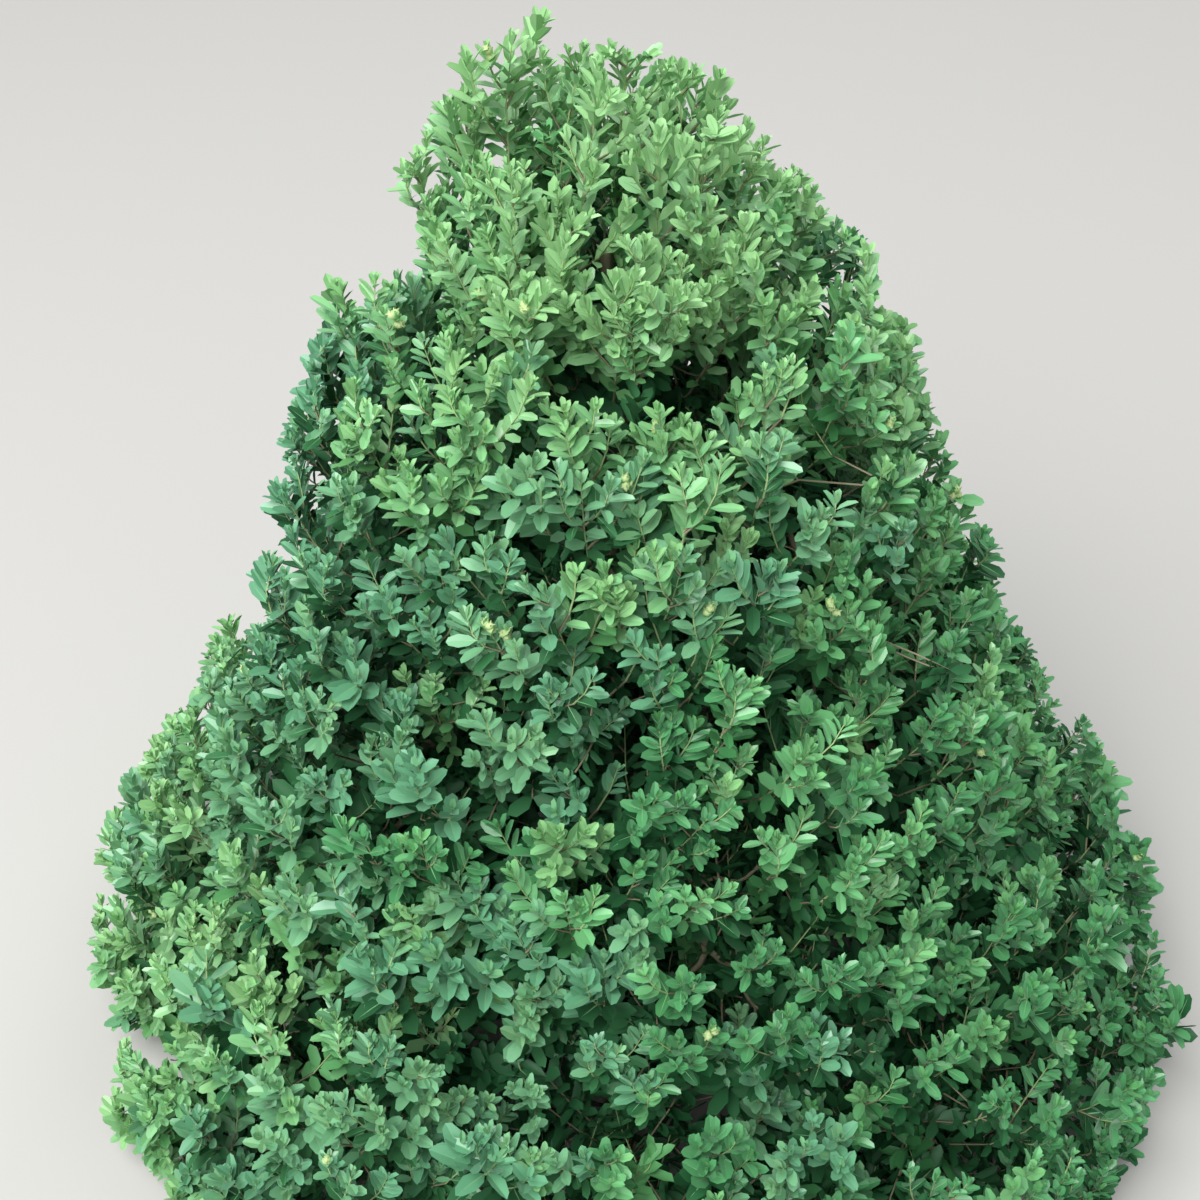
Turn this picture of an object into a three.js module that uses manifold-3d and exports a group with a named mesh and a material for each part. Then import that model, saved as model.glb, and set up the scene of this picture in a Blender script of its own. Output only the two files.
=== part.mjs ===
// A boxwood shrub kept as a broad cone and rooted in the ground. A short stem with a root flare
// forks into main boughs. Side boughs leave the main ones and the stem, and every bough ends
// where it enters the mass of foliage that it carries. The masses form a thick shell round an
// open middle, as the leaves of such a shrub do.
// Units are millimetres, +Z is up, and the origin is the middle of the flat cut under the stem.
import * as THREE from "three";
import { mergeVertices } from "three/addons/utils/BufferGeometryUtils.js";
import Module from "manifold-3d";

const wasm = await Module();
wasm.setup();

// Driving dimensions of the crown
const HEIGHT = 1006;
const CROWN_PROFILE = [
  // height above the ground, radius of the crown there
  [0, 512],
  [60, 534],
  [150, 522],
  [270, 460],
  [400, 380],
  [520, 338],
  [645, 286],
  [765, 236],
  [865, 180],
  [935, 126],
  [980, 74],
  [HEIGHT, 16],
];
const AXIS_AT_GROUND = 24; // how far the crown's middle line is from the stem, towards +X
const AXIS_AT_TOP = 3;
const TIP_LEAN = -25; // how much further the tip leans, from TIP_START upwards
const TIP_START = 850;
const GROUND_CLEARANCE = 12;
const GAP = 0.3; // between solids that touch
const CREVICE = 8; // between neighbouring masses of foliage

// Each ring of masses: their height, how deep they are, the bearing of the first one in degrees
// from +X towards +Y, and how far each of them stands proud of the crown's profile. The top is a
// mass on its own.
const RINGS = [
  { name: "skirt", height: 195, depth: 210, first: 222, proud: [6, 0, 8, -6, 10, -2, 8] },
  { name: "middle", height: 510, depth: 175, first: 280, proud: [8, -8, -6, 4, -36, 2] },
  { name: "upper", height: 745, depth: 140, first: 210, proud: [16, 2, -2, -10, 10, -26] },
];
const TOP_HEIGHT = 915;
const BEARING_STRAY = 6; // degrees
const HEIGHT_STRAY = 22;

// The masses' form: how sharp the edges between faces are, and how deep the hollows in the outer
// face are against the mass's reach
const EDGE_SHARPNESS = 9;
const HOLLOWS = 0.16;
const MASS_DETAIL = 3;

// Driving dimensions of the wood
const STEM = { height: 112, foot: 37, waist: 23, crown: 29, ridges: 5, ridgeDepth: 0.13 };
const FORK_RING = 16; // radius of the ring of main boughs at the fork
const LEADER = { foot: 8, tip: 4 };
const MAIN_BOUGH = { foot: 10, tip: 4 };
const UPPER_SIDE_BOUGH = { foot: 6, tip: 3.5, leaves: 0.44, rise: 1.4 };
const MIDDLE_SIDE_BOUGH = { foot: 6.5, tip: 3.5, leaves: 0.17, rise: 1.1 };
const SIDE_BOUGH_STAGGER = 0.1; // of the parent's length, between side boughs taken in turn
const SKIRT_BOUGH = { foot: 7, tip: 3.5, height: 68 };
const ENTRY = 16; // how far a bough reaches into its mass
const LIMB_SIDES = 6;
const LIMB_STEPS = 6;
const UP = new THREE.Vector3(0, 0, 1);

// Materials
const bark = new THREE.MeshStandardMaterial({ color: 0x7d6b52, roughness: 0.9, metalness: 0 });
const foliage = new THREE.MeshStandardMaterial({ color: 0x4b8a4f, roughness: 0.55, metalness: 0 });

// A number from -1 to 1 that is always the same for the same seed.
function stray(seed) {
  const s = Math.sin(seed * 127.1 + 311.7) * 43758.5453;
  return 2 * (s - Math.floor(s)) - 1;
}

// A direction from the compass bearing and the rise per unit of distance
function outward(bearing, rise = 0) {
  const angle = THREE.MathUtils.degToRad(bearing);
  return new THREE.Vector3(Math.cos(angle), Math.sin(angle), rise).normalize();
}

// The crown's radius at a height, between the points of its profile
function crownRadius(z) {
  const above = CROWN_PROFILE.findIndex(([height]) => height >= z);
  if (above < 1) return above === 0 ? CROWN_PROFILE[0][1] : 0;
  const [lowZ, lowR] = CROWN_PROFILE[above - 1];
  const [highZ, highR] = CROWN_PROFILE[above];
  return THREE.MathUtils.mapLinear(z, lowZ, highZ, lowR, highR);
}

// The way out of the crown at a height: square to the slope of its side
function crownNormal(z, bearing) {
  const slope = (crownRadius(z + 90) - crownRadius(z - 90)) / 180;
  return outward(bearing, -slope);
}

// The middle of the crown at a height: the crown leans a little, and its tip leans more
function crownMiddle(z) {
  const lean = THREE.MathUtils.lerp(AXIS_AT_GROUND, AXIS_AT_TOP, z / HEIGHT);
  return new THREE.Vector3(lean + TIP_LEAN * THREE.MathUtils.smoothstep(z, TIP_START, HEIGHT), 0, z);
}

function insideCrown(point, proud) {
  return point.distanceTo(crownMiddle(point.z)) < crownRadius(point.z) + proud;
}

// The masses of one ring, each placed by its centre and the way out of the crown there
function ringMasses({ name, height, depth, first, proud: prouds }) {
  return prouds.map((proud, i) => {
    const seed = height + i;
    const z = height + HEIGHT_STRAY * stray(seed);
    const bearing = first + (360 * i) / prouds.length + BEARING_STRAY * stray(seed + 0.5);
    const out = crownNormal(z, bearing);
    const surface = crownMiddle(z).addScaledVector(outward(bearing), crownRadius(z) + proud);
    const centre = surface.addScaledVector(out, -depth / 2);
    return { name: `${name}_${i + 1}`, ring: name, bearing, centre, out, depth, proud, seed };
  });
}

const top = {
  name: "top",
  ring: "top",
  bearing: 0,
  centre: crownMiddle(TOP_HEIGHT),
  out: UP,
  depth: 2 * (HEIGHT - TOP_HEIGHT),
  proud: 0,
  seed: 3,
};
const masses = [...RINGS.flatMap(ringMasses), top];

// The flat limits of a mass: the way to each, and its distance from the mass's centre
function limitsOf(mass) {
  const neighbours = masses
    .filter((other) => other !== mass)
    .map((other) => {
      const apart = other.centre.clone().sub(mass.centre);
      return { way: apart.clone().normalize(), distance: (apart.length() - CREVICE) / 2 };
    });
  const back = { way: mass.out.clone().negate(), distance: mass.depth / 2 };
  const ground = { way: UP.clone().negate(), distance: mass.centre.z - GROUND_CLEARANCE };
  return [...neighbours, back, ground];
}
for (const mass of masses) mass.limits = limitsOf(mass);

// How far a mass's centre is from the crown's outside in a direction
function distanceToOutside(mass, direction) {
  let inside = 0;
  let outside = 2 * HEIGHT;
  while (outside - inside > 0.1) {
    const middle = (inside + outside) / 2;
    const point = mass.centre.clone().addScaledVector(direction, middle);
    if (insideCrown(point, mass.proud)) inside = middle;
    else outside = middle;
  }
  return inside;
}

// How far a mass reaches from its centre in a direction: up to the nearest limit, rounded off
// where limits meet, less hollows in its outer face that differ from mass to mass.
function reach(mass, direction) {
  const distances = mass.limits
    .filter(({ way }) => way.dot(direction) > 0.01)
    .map(({ way, distance }) => distance / way.dot(direction));
  distances.push(distanceToOutside(mass, direction));
  const sum = distances.reduce((total, distance) => total + distance ** -EDGE_SHARPNESS, 0);
  const { x, y, z } = direction;
  const waves =
    Math.sin(4.1 * x + mass.seed) + Math.sin(4.7 * y + 2.3 * mass.seed) + Math.sin(5.3 * z + 1.7 * mass.seed);
  const hollow = HOLLOWS * (0.5 - waves / 6) * Math.max(0, direction.dot(mass.out));
  return sum ** (-1 / EDGE_SHARPNESS) * (1 - hollow);
}

// Solids from geometry, and back
function solidOf(geometry) {
  const bare = geometry.index ? geometry.toNonIndexed() : geometry.clone();
  bare.deleteAttribute("normal");
  bare.deleteAttribute("uv");
  const merged = mergeVertices(bare, 1e-3);
  const mesh = new wasm.Mesh({
    numProp: 3,
    vertProperties: merged.attributes.position.array,
    triVerts: new Uint32Array(merged.index.array),
  });
  return new wasm.Manifold(mesh);
}

function geometryOf(solid) {
  const { vertProperties, triVerts } = solid.getMesh();
  const geometry = new THREE.BufferGeometry()
    .setAttribute("position", new THREE.BufferAttribute(new Float32Array(vertProperties), 3))
    .setIndex(new THREE.BufferAttribute(new Uint32Array(triVerts), 1));
  geometry.computeVertexNormals();
  return geometry;
}

// The largest of the bodies that a cut leaves
function largestBody(solid) {
  return solid.decompose().reduce((best, body) => (body.volume() > best.volume() ? body : best));
}

// Moves every vertex of a geometry to where a function puts it
function reshape(geometry, place) {
  const position = geometry.attributes.position;
  const point = new THREE.Vector3();
  for (let i = 0; i < position.count; i++) {
    point.fromBufferAttribute(position, i);
    place(point);
    position.setXYZ(i, point.x, point.y, point.z);
  }
  return geometry;
}

// The stem: a turned profile from the flat cut to the fork, with ridges that fade upwards from
// the root flare. It is thicker all over by extra.
function makeStem(extra = 0) {
  const { height, foot, waist, crown, ridges, ridgeDepth } = STEM;
  const side = new THREE.SplineCurve([
    new THREE.Vector2(foot + extra, 0),
    new THREE.Vector2(waist * 1.2 + extra, height * 0.2),
    new THREE.Vector2(waist + extra, height * 0.5),
    new THREE.Vector2(crown + extra, height * 0.85),
    new THREE.Vector2(crown * 0.7 + extra, height + extra),
  ]).getPoints(8);
  const profile = [new THREE.Vector2(0, 0), ...side, new THREE.Vector2(0, height + extra)];
  const geometry = new THREE.LatheGeometry(profile, 20).rotateX(Math.PI / 2);
  reshape(geometry, (point) => {
    const fade = Math.max(0, 1 - point.z / height);
    const ridge = 1 + ridgeDepth * fade * Math.cos(ridges * Math.atan2(point.y, point.x));
    point.x *= ridge;
    point.y *= ridge;
  });
  return solidOf(geometry);
}

// A limb: a tube with closed ends that tapers along a curve, thicker all over by extra
function makeLimb({ curve, size }, extra = 0) {
  const unitCircle = new THREE.Shape().absarc(0, 0, 1, 0, 2 * Math.PI);
  const geometry = new THREE.ExtrudeGeometry(unitCircle, {
    extrudePath: curve,
    steps: LIMB_STEPS,
    curveSegments: LIMB_SIDES / 2,
  });
  const centres = curve.getSpacedPoints(LIMB_STEPS);
  const beyondTip = curve.getTangent(1).multiplyScalar(extra);
  reshape(geometry, (point) => {
    const ring = centres.findIndex((centre) => Math.abs(centre.distanceTo(point) - 1) < 0.01);
    const radius = THREE.MathUtils.lerp(size.foot, size.tip, ring / LIMB_STEPS) + extra;
    point.sub(centres[ring]).multiplyScalar(radius).add(centres[ring]);
    if (ring === LIMB_STEPS) point.add(beyondTip);
  });
  return solidOf(geometry);
}

// A bough to a mass: it leaves its foot in one direction and bends round to the mass's back.
function planBough(mass, size, foot, leaving, parent = null) {
  const inward = mass.out.clone().negate();
  const tip = mass.centre.clone().addScaledVector(inward, reach(mass, inward) - ENTRY);
  const control = foot.clone().addScaledVector(leaving, foot.distanceTo(tip) * 0.5);
  const curve = new THREE.QuadraticBezierCurve3(foot, control, tip);
  return { mass, size, parent, curve };
}

function nearestByBearing(boughs, bearing) {
  const apart = (bough) => 1 - outward(bough.mass.bearing).dot(outward(bearing));
  return boughs.reduce((best, bough) => (apart(bough) < apart(best) ? bough : best));
}

// The leader runs to the top, main boughs to every other upper mass, and side boughs to the rest
function planBoughs() {
  const inRing = (ring) => masses.filter((mass) => mass.ring === ring);
  const forkHeight = STEM.height - 14;
  const leader = planBough(top, LEADER, new THREE.Vector3(0, 0, forkHeight), outward(40, 8));
  const mains = inRing("upper")
    .filter((_, i) => i % 2 === 0)
    .map((mass) => {
      const foot = outward(mass.bearing).multiplyScalar(FORK_RING).setZ(forkHeight);
      return planBough(mass, MAIN_BOUGH, foot, outward(mass.bearing, 3));
    });
  const sideBough = (mass, size, i) => {
    const parent = nearestByBearing(mains, mass.bearing - 20);
    const foot = parent.curve.getPoint(size.leaves + SIDE_BOUGH_STAGGER * (i % 2));
    return planBough(mass, size, foot, outward(mass.bearing, size.rise), parent);
  };
  const upperSides = inRing("upper")
    .filter((_, i) => i % 2 === 1)
    .map((mass) => sideBough(mass, UPPER_SIDE_BOUGH, 0));
  const middles = inRing("middle").map((mass, i) => sideBough(mass, MIDDLE_SIDE_BOUGH, i));
  const skirts = inRing("skirt").map((mass) => {
    const foot = outward(mass.bearing).multiplyScalar(STEM.waist / 2).setZ(SKIRT_BOUGH.height);
    return planBough(mass, SKIRT_BOUGH, foot, outward(mass.bearing, 0.2));
  });
  return [leader, ...mains, ...upperSides, ...middles, ...skirts];
}

const boughs = planBoughs();
const stemWithGap = makeStem(GAP);

// A bough's foot stops short of the limb that it leaves
function makeBough(bough) {
  const socket = bough.parent ? makeLimb(bough.parent, GAP) : stemWithGap;
  return largestBody(makeLimb(bough).subtract(socket));
}

// A mass: a ball whose every vertex is moved to the mass's reach, less the boughs that enter it
const sockets = wasm.Manifold.union(boughs.map((bough) => makeLimb(bough, GAP)));
function makeMass(mass) {
  const geometry = reshape(new THREE.IcosahedronGeometry(1, MASS_DETAIL), (point) => {
    const direction = point.clone().normalize();
    point.copy(mass.centre).addScaledVector(direction, reach(mass, direction));
  });
  return largestBody(solidOf(geometry).subtract(sockets));
}

const shrub = new THREE.Group();
function addNode(name, solid, material) {
  const mesh = new THREE.Mesh(geometryOf(solid), material);
  mesh.name = name;
  shrub.add(mesh);
}

addNode("stem", makeStem(), bark);
for (const bough of boughs) addNode(`bough_${bough.mass.name}`, makeBough(bough), bark);
for (const mass of masses) addNode(`foliage_${mass.name}`, makeMass(mass), foliage);

export default shrub;
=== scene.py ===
"""Looks of a boxwood shrub kept as a broad cone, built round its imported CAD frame.

Each mass of foliage is replaced by twigs, leafy shoots and leaves that grow on from the end of the
bough that enters it. Sprays of shoots are set out over the mass's faces, twigs fork from the
bough's end until they reach every spray, and leaves sit in pairs along every shoot. Leafy twigs
along the boughs fill the inside of the crown, and a few shoots bear seed capsules. The stem and
boughs are replaced by meshes with the relief of bark. Units are metres, +Z is up.
"""

import math

import bpy
import numpy as np
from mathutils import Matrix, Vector, noise
from mathutils.bvhtree import BVHTree

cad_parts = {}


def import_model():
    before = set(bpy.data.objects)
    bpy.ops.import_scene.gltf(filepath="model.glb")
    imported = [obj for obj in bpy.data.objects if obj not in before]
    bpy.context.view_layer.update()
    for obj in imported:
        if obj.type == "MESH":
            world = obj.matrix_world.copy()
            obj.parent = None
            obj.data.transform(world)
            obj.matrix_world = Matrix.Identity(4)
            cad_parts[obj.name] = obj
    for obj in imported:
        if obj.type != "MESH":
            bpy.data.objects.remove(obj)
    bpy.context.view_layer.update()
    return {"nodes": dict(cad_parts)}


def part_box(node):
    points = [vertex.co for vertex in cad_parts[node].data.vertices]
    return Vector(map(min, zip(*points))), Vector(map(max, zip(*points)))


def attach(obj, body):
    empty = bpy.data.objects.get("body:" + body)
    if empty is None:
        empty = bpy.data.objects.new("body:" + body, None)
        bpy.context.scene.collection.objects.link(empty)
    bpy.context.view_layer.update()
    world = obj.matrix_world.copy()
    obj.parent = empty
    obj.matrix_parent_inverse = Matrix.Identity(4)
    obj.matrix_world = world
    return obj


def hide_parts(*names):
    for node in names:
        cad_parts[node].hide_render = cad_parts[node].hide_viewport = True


MM = 0.001
SEED = 11
UP = np.array([0.0, 0.0, 1.0])
SIDEWAYS = np.array([1.0, 0.0, 0.0])
NEARLY_UP = UP + 0.01  # crossed with a way, it gives one square to it, even if that points up
STEEP = 0.9  # the rise from which a way counts as upright

# The crown's slope, which sets the way out of it
CROWN_SLOPE = 0.45  # how much its sides look up, against how much they look out
CROWN_TOP = 0.86  # the height from which its faces turn up
TOP_TURN = 1.5  # by this much for each metre

# Where sprays stand
PLACES_TRIED = 3000  # on each mass
SPRAY_SPACING = ((0.65, 0.88), (45 * MM, 36 * MM))  # heights, and the spacing there
SHADE_SPACING = ((0.25, 0.45), (45 * MM, 55 * MM))  # the same for sprays in the shade
MOST_INWARD = -0.15  # how far a lit face's normal may point into the crown
MOST_DOWNWARD = -0.8  # how far it may point down
OPEN_SHARE = 0.3  # of the sky outside that a place must see to be in the light
SKY_WAYS = 8  # in which the sky is looked for, round the way straight out
SKY_REACH = 150 * MM  # how far away the crown itself can hide the sky
FACE_GAP = 2 * MM  # between a face and where the sky is looked for
RAY_GAP = 3 * MM  # from there to where each look begins
LIT_WAY = (0.5, 1)  # the way a spray faces: shares of the face's normal and of the way out
SHADED_WAY = (1, 0.3)
GROUND_CLEARANCE = 4 * MM
SPRAY_UNEVEN = 22 * MM  # how far a spray's tip stands back from the mass's face at most
UNEVEN_POWER = 1.5  # above 1, so that most stand back less
TIP_LEAVES = 6 * MM  # how far the leaves at a tip reach past it

# Dark pockets between the sprays, where smooth noise is high
POCKET_GRAIN = 15  # for each metre
POCKET_START = 0.1  # the noise at a pocket's edge
POCKET_RISE = 0.3  # how much more there is where it is deepest
POCKET_DEPTH = 58 * MM
DEEP_POCKET = 0.33  # the noise from which the sprays in a pocket stand in the shade, with only old, darker leaves: partly painted shade

# Sprays: a leader that comes out of its mass and turns upwards, with side shoots
SPRAY_LENGTH = 140 * MM
LEADER_FOOT = 0.45  # of the leader's length, from its foot to its bend
LEADER_HEAD = 0.6  # of its length, from its bend to its tip
FOOT_RISE = 0.35  # how far its foot part rises, against how far it comes out
BEND_CLEARANCE = 3 * GROUND_CLEARANCE
FOOT_CLEARANCE = 6 * GROUND_CLEARANCE
OUTWARD_LEAN = 0.1  # how far shoots lean out, against how far they rise
SWAY = 0.32
SWAY_GRAIN = 8  # changes of lean from patch to patch, for each metre
LONG_SHARE = 0.11  # of the sprays, whose leader outgrows the rest
LONG_ABOVE = 0.85  # the height from which that share grows
LONG_GROWTH = 2.5  # by this much for each metre
LONG_REACH = 15 * MM
SIDE_SHOOT_PLACES = np.array([0.84, 0.74, 0.6, 0.44])  # along the leader
SIDE_SHOOT_RANGE = (0.2, 0.92)  # the lowest and highest place that chance may give
SIDE_SHOOT_BEARINGS = np.radians([72, -66, 14, -104])  # round the leader from straight out
SIDE_SHOOT_LENGTHS = np.array([30, 44, 60, 74]) * MM
SIDE_SHOOT_FOOT = 0.45  # of its length, before it turns up
SIDE_SHOOT_HEAD = 0.6
FOOT_SPLAY = 1.1  # how far it leaves the leader, against how far it goes on beside it
HEAD_SPLAY = 0.22
INNER_SHOOTS = 2  # of a spray that stands in the shade, its leader among them

# Vigour of a spray, which sets how long its leaves are and how far apart
VIGOUR = (1.1, 0.12)  # mean and standard deviation
VIGOUR_RANGE = (0.8, 1.35)
VIGOUR_FALL = 0.2  # for each metre up
LONG_VIGOUR = 0.35  # what a long spray has more
LONG_VIGOUR_BELOW = 0.8  # under this height
SHADE_SIZE = (1.25, 0.85)  # of a leaf in the shade, against one in the light, at 0 and 1 m up
OPENING = (0.8, 1.3)  # range of the angles of a shoot's leaves, against the usual ones
BARE_FOOT = (0.03, 0.12)  # range of a shoot's share next to its foot that has no leaves

# Leaves in pairs, counted from the tip of a shoot: the distance from the tip, the leaf's length
# against a full-grown one, and its angle from the shoot
PAIR_DISTANCE = np.array([1, 4, 9, 16, 25, 36, 48, 61, 74, 87, 100, 114, 128]) * MM
PAIR_LENGTH = np.array([0.4, 0.58, 0.74, 0.88, 0.97, 1, 1, 1, 0.98, 0.95, 0.9, 0.85, 0.8])
PAIR_ANGLE = np.radians([18, 29, 35, 38, 40, 42, 44, 46, 48, 50, 52, 54, 56])
FLAT_TWIST = math.radians(14)  # between one pair and the next on the older part of a shoot
CROSSED_TWIST = math.radians(45)  # the same at a tip, and where a shoot points at the light
FLAT_PAIR = 4  # the first pair that counts as older
FLAT_GAIN = 1.6  # how soon a shoot that turns from the light lays its leaves flat
STRAY = 0.2  # how far pairs stray from lying square to the light
LIGHT_OUTWARD = 0.8  # how far the light comes from outside, against from above
LIGHT_PULL = 0.5  # how much the leaves at a tip turn to the light
PULL_GROWTH = 0.1  # how much more each further pair does
MOST_PULL = 1.3
LEAF_LENGTH = 21 * MM
LEAF_BREADTH = 0.49  # of its length
YOUNG_FOLD = 0.42  # how far a leaf's halves are raised, in radians
OLDER_FOLD = 0.36
YOUNG_CURL = 0.05  # how far its tip rises, against its length
OLDER_CURL = -0.07
EDGE_DROP = 0.25  # of a leaf's length, how far it may hang below its midrib
LEAF_AGES = 3  # young, grown and old
GROWN_PAIRS = 4  # the pairs next to the young ones
FINE_PAIRS = (2, 6)  # from and to the pairs that get the finer leaf
FIRST_FLAT_PAIR = 7  # the first pair whose leaves have no fold, as in the shade
FIRST_SHADED_PAIR = 3  # the first pair on a shoot in the shade
FIRST_INNER_PAIR = 5  # the first pair on the twigs inside the crown

# A leaf's outline: how far along each station is, and the half breadth there
FINE_OUTLINE = ((0, 0), (0.26, 0.76), (0.6, 1), (0.92, 0.58), (1, 0))
PLAIN_OUTLINE = ((0, 0), (0.32, 0.88), (0.8, 0.85), (1, 0))
MIDRIB_STATIONS = np.array([0, 0.45, 0.88])
MIDRIB_BREADTH = 0.075  # of the leaf's
MIDRIB_TAPER = 0.7  # its breadth at the middle station, against the first
MIDRIB_LIFT = 0.12 * MM

# How light a spray's leaves are, by its place in the crown: painted light and shade, lighter at the
# top, the upper right, the lower left and the left edge; the top also has fresher growth
TOP_FRESH_AND_PAINTED_LIGHT = 6.5  # painted light from above, with fresher growth at the top, for each metre
TOP_FRESH_AND_PAINTED_LIGHT_ABOVE = 0.71
SIDE_PAINTED_LIGHT_AND_SHADE = 3.8  # painted light and shade, for each metre to the right and each metre up
SIDE_PAINTED_LIGHT_TURN = 0.52  # the height above which the painted light falls on the right, and below it on the left
LEFT_EDGE_PAINTED_LIGHT = 2.6  # painted light on the left edge, for each metre
LEFT_EDGE_PAINTED_LIGHT_FROM = 0.28  # how far to the left that begins
PATCH_LIGHT = 0.8
PATCH_GRAIN = 7  # patches of light and dark, for each metre
LONG_DARKER = 0.5  # the long leaders
FLUSH_LIGHT = 0.65
FLUSH_SHARE = 0.09  # of the sprays, which are in fresh growth and lighter than their neighbours

# Tones of leaves, as places in leaf_materials
LIGHT_LEVELS = np.array([0.95, 0.5, -0.1])  # the least lightness of each level but the last
WARM_TONES = np.array([0, 1, 2, 4])  # the tone of each level, which a cool one may follow
FIRST_COOL_LEVEL = 2
COOL_BELOW = 0.1  # the warmth under which a spray is cool
WARMTH_PATCH = 0.35
WARMTH_GRAIN = 5
INNER_OLD_AND_PAINTED_SHADE_TONES = (4, 6)  # from and to the tones of the twigs inside the crown: the darkest, for old leaves and painted shade
MOST_YOUNG_PAIRS = np.array([8, 5.5, 4.5, 4.5, 2.8, 2.8])  # on a shoot of each tone
LEAST_YOUNG = 0.2  # of those
YOUNG_ABOVE = 0.82  # the height from which shoots have more young pairs
YOUNG_GROWTH = 15  # for each metre

# Standard deviations of what varies by chance
HEADING_SPREAD = 0.1
SPRAY_LENGTH_SPREAD = 0.1
FRONT_SPREAD = 0.3
SIDE_PLACE_SPREAD = 0.05
SIDE_BEARING_SPREAD = 0.3
SIDE_LENGTH_SPREAD = 0.18
SHOOT_SIZE_SPREAD = 0.05
SHOOT_STRETCH_SPREAD = 0.08
TURN_SPREAD = 0.2
ANGLE_SPREAD = 0.16
FACING_SPREAD = 0.32
LENGTH_SPREAD = 0.07
BREADTH_SPREAD = 0.08
FOLD_SPREAD = 0.12
CURL_SPREAD = 0.05
SPRAY_LIGHT_SPREAD = 0.25
SHOOT_LIGHT_SPREAD = 0.1
WARMTH_SPREAD = 0.06

# The pale bloom on leaves
BLOOM_ROUGHNESS = 0.4
BLOOM_COLOUR = (0.75, 0.95, 0.9, 1)

# Twigs
FORK_PLACE = 0.42  # of the way to the middle of the sprays that a limb still has to reach
FORK_CURVE = 0.5  # of a limb's length, along which it keeps its way before it turns
LAST_CURVE = 0.45  # of the last twig's length, along which it already has its spray's way
TWIG_RADIUS = 0.9 * MM  # of a twig that bears one spray
TWIG_GROWTH = 0.42  # the power of the number of sprays by which it thickens
TWIG_TAPER = (1.15, 0.9)  # its radius at its foot and its end, against its own
TWIG_STATIONS = np.linspace(0, 1, 4)
TWIG_SIDES = 4
SHOOT_RADII = (1.25, 0.5)  # at a shoot's foot and tip, in millimetres
SHOOT_SIDES = 3
MOST_LEAFY_TIPS = 5  # a twig that forks to more than these bears no leaves
TWIG_SIZE_SPREAD = 0.1
TWIG_STRETCH = (0.9, 0.1)  # mean and standard deviation
TWIG_OPENING = (0.9, 1.4)
TWIG_BARE_FOOT = (0.05, 0.2)

# Twigs that leave the boughs inside the crown
BOUGH_TWIG_SPACING = ((0.25, 0.45), (6 * MM, 14 * MM))  # heights of a bough's end, and the spacing
BOUGH_TWIG_LENGTH = ((0.3, 0.8), (210 * MM, 120 * MM))  # heights, and the length there
BOUGH_TWIG_RANGE = (0.8, 1.1)  # the shortest and longest, against that length
BOUGH_TWIG_PLACES = (0.2, 0.97)  # along the bough, from and to
SHORTER_ABOVE = 0.35  # at this height and above they shorten fully towards their bough's end
END_SHORTER = 0.9  # what they lose there
TWIG_AHEAD = 0.3  # how far they first go on along the bough, against how far they leave it
TWIG_FIRST_RISE = 0.2
TWIG_LAST_RISE = 0.5
TWIG_CLEARANCE = 4 * GROUND_CLEARANCE

# Seed capsules, in bunches at the tips of a few shoots
FRUIT_SHARE = 0.013
CAPSULES = 4
CAPSULE_RADIUS = 3.4 * MM
CAPSULE_LENGTH = 2 * CAPSULE_RADIUS
CAPSULE_PROFILE = ((0, 0.3), (0.3, 0.95), (0.7, 0.9), (1, 0))  # places along it, and the radius
CAPSULE_SIDES = 6
BUNCH_SPREAD = 0.8
HORNS = 3
HORN_LENGTH = 2 * MM
HORN_PLACE = 1.7  # along the capsule, in its radii
HORN_OFFSET = 0.4  # out from its middle line, in its radii
HORN_SPLAY = 0.8
HORN_RADII = np.array([0.3, 0.05])  # at its foot and its tip, in the capsule's radii
HORN_SIDES = 3

# Bark
BOUGH_SLICES = 24
FIRST_SLICE = 0.04  # of a limb's length, past its cut-off foot
LAST_SLICE = 0.5 * MM  # short of its end
BOUGH_SIDES = 10
BOUGH_STEP = 7 * MM
LEAST_RINGS = 4
BOUGH_BACK = 1.6  # of its radius, how far a bough reaches back into the limb that it leaves
BOUGH_RELIEF = 0.7 * MM
STEM_RINGS = 48
STEM_SIDES = 72
STEM_EDGE = 0.4 * MM  # between the stem's cuts and its first and last rings
STEM_RELIEF = 1.6 * MM
LUMP_GRAIN = 90  # for each metre
LUMP_FRACTAL = (1, 2, 3)  # roughness, step between octaves, and octaves
CRACK_GRAIN = np.array([260, 260, 60])  # for each metre, so that cracks run upwards
CRACK_DEPTH = 0.8  # against the lumps
BARK_GRAIN = 160  # of its colour, for each metre
BARK_DETAIL = 6

# The stage, with its soft lights: name, place, size and power
FLOOR_HALF = 6
SKY_COLOUR = (0.93, 0.97, 1, 1)
SKY_STRENGTH = 0.32
LIGHTS = (
    ("key", (-2.4, -2.8, 6.2), 6, 835),
    ("fill", (3.4, -4.5, 5), 4, 48),
    ("back", (2.6, 4.6, 5), 5, 130),
)
LIT_POINT = Vector((0, 0, 0.5))

# The photo's camera, worked out from the crown's outline
CAMERA_DISTANCE = 1.144
CAMERA_HEIGHT = 1.558
CAMERA_PITCH = 43  # degrees below level
CAMERA_TURN = 0.47  # degrees to the left
LENS = 55
SENSOR = 36


def unit(vectors):
    """Vectors of length 1 along the last axis."""
    return vectors / np.maximum(np.linalg.norm(vectors, axis=-1, keepdims=True), 1e-9)


def square_to(vectors, axis):
    """What of the vectors is square to the axis, at length 1."""
    return unit(vectors - (vectors * axis).sum(-1, keepdims=True) * axis)


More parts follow.
